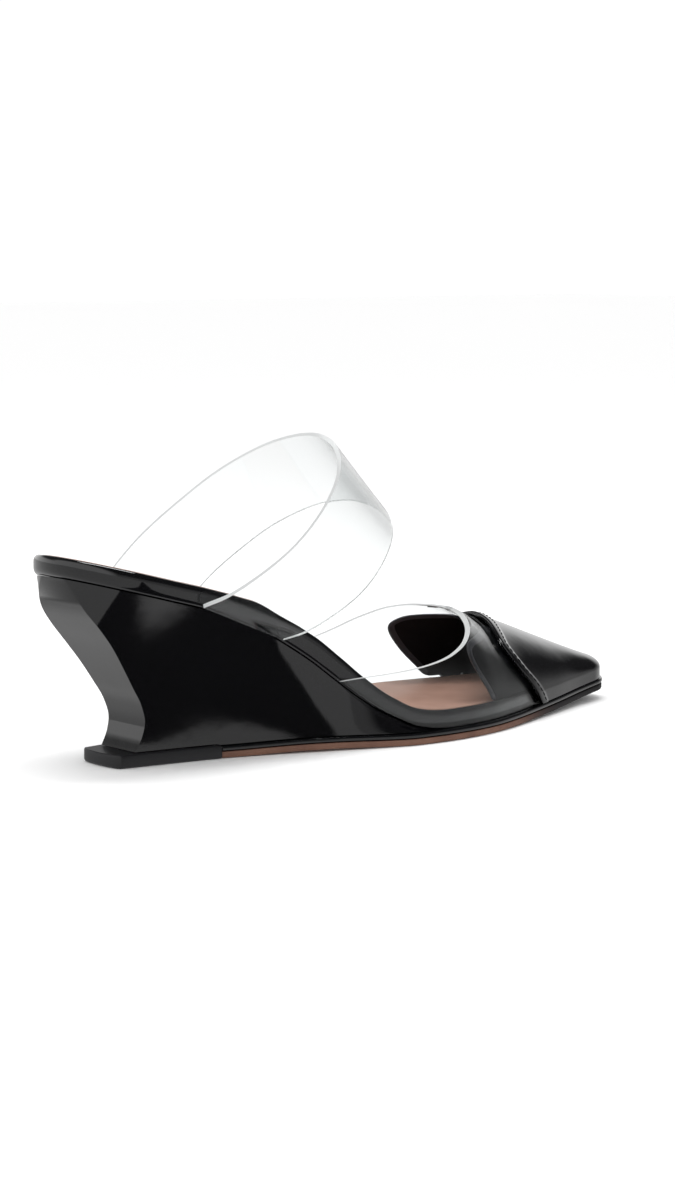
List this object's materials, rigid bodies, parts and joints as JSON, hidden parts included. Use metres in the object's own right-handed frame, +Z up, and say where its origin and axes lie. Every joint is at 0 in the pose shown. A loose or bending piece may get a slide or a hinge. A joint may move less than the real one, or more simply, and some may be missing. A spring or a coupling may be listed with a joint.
{
  "type": "wedge mule",
  "caption": "Pointed wedge mule with a clear vamp, a clear instep strap, a black patent toe cap and wedge, and a tan leather insole.",
  "frame": {"origin": "on the floor, on the top lift's bottom face, under the middle of the heel seat", "axes": "+X from heel to toe, +Z up, -Y to the outer (lateral) side of this right shoe"},
  "size_m": [0.2413, 0.0796, 0.1014],
  "materials": {
    "patent_leather": "high-gloss patent",
    "clear_vinyl": "clear, polished",
    "tan_leather": "smooth, satin",
    "black_rubber": "moulded, matte",
    "lining_leather": "smooth, satin"
  },
  "bodies": {
    "root": {"outsole": "tan_leather", "welt": "patent_leather", "top_lift": "black_rubber", "wedge": "patent_leather", "insole_board": "patent_leather", "insole": "tan_leather", "vamp": "clear_vinyl", "toe_cap": "patent_leather", "toe_lining": "lining_leather", "instep_strap": "clear_vinyl"}
  },
  "joints": []
}
